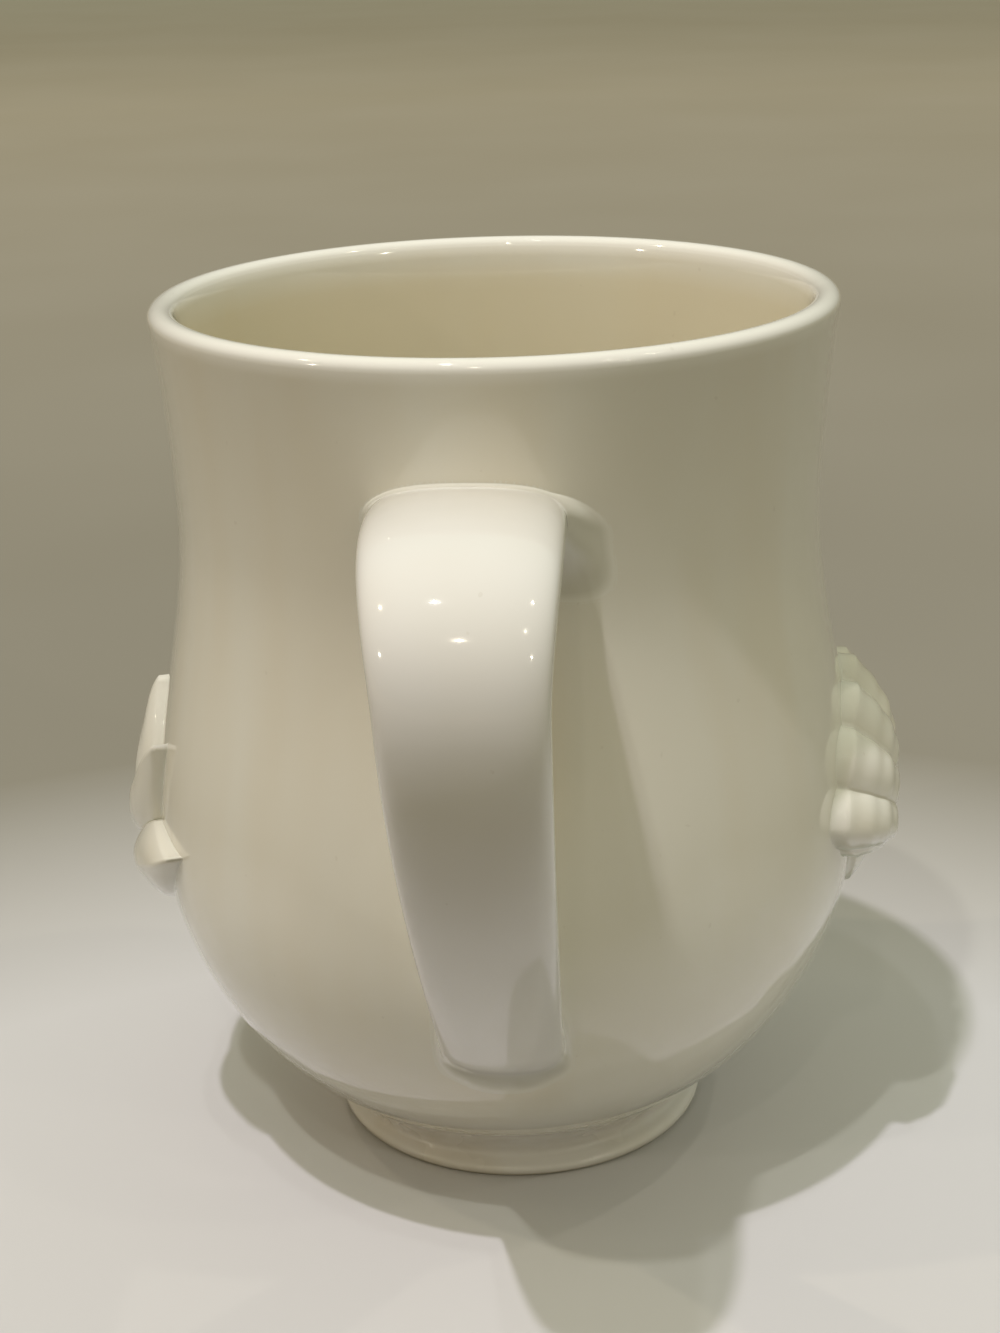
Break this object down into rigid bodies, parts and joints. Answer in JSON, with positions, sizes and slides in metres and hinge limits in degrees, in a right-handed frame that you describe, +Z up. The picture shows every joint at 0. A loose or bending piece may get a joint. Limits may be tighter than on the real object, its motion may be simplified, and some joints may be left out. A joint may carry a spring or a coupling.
{
  "type": "porcelain mug",
  "caption": "Pear-shaped white porcelain mug with a flared rim, a low foot ring, a wide ear-shaped strap handle and two applied reliefs, a leaf spray and a scallop shell",
  "frame": {"origin": "on the table, under the middle of the box that holds the whole mug with its handle", "axes": "+Z up through the mug; +X towards the handle; the leaf spray faces -Y and the scallop shell faces +Y. The cup's own axis of turning stands at x = -13 mm"},
  "size_m": [0.117, 0.1008, 0.1103],
  "materials": {
    "glazed_body": "clear gloss glaze over warm white porcelain",
    "foot_porcelain": "clear gloss glaze, wiped off the standing face",
    "glazed_handle": "clear gloss glaze over warm white porcelain",
    "slip_seam": "glazed slip, a little softer than the body",
    "glazed_relief": "clear gloss glaze, pooled in the hollows"
  },
  "bodies": {
    "root": {"cup_body": "glazed_body", "foot_ring": "foot_porcelain", "strap_handle": "glazed_handle", "upper_slip_seam": "slip_seam", "lower_slip_seam": "slip_seam", "leaf_spray_relief": "glazed_relief", "scallop_shell_relief": "glazed_relief"}
  },
  "joints": []
}
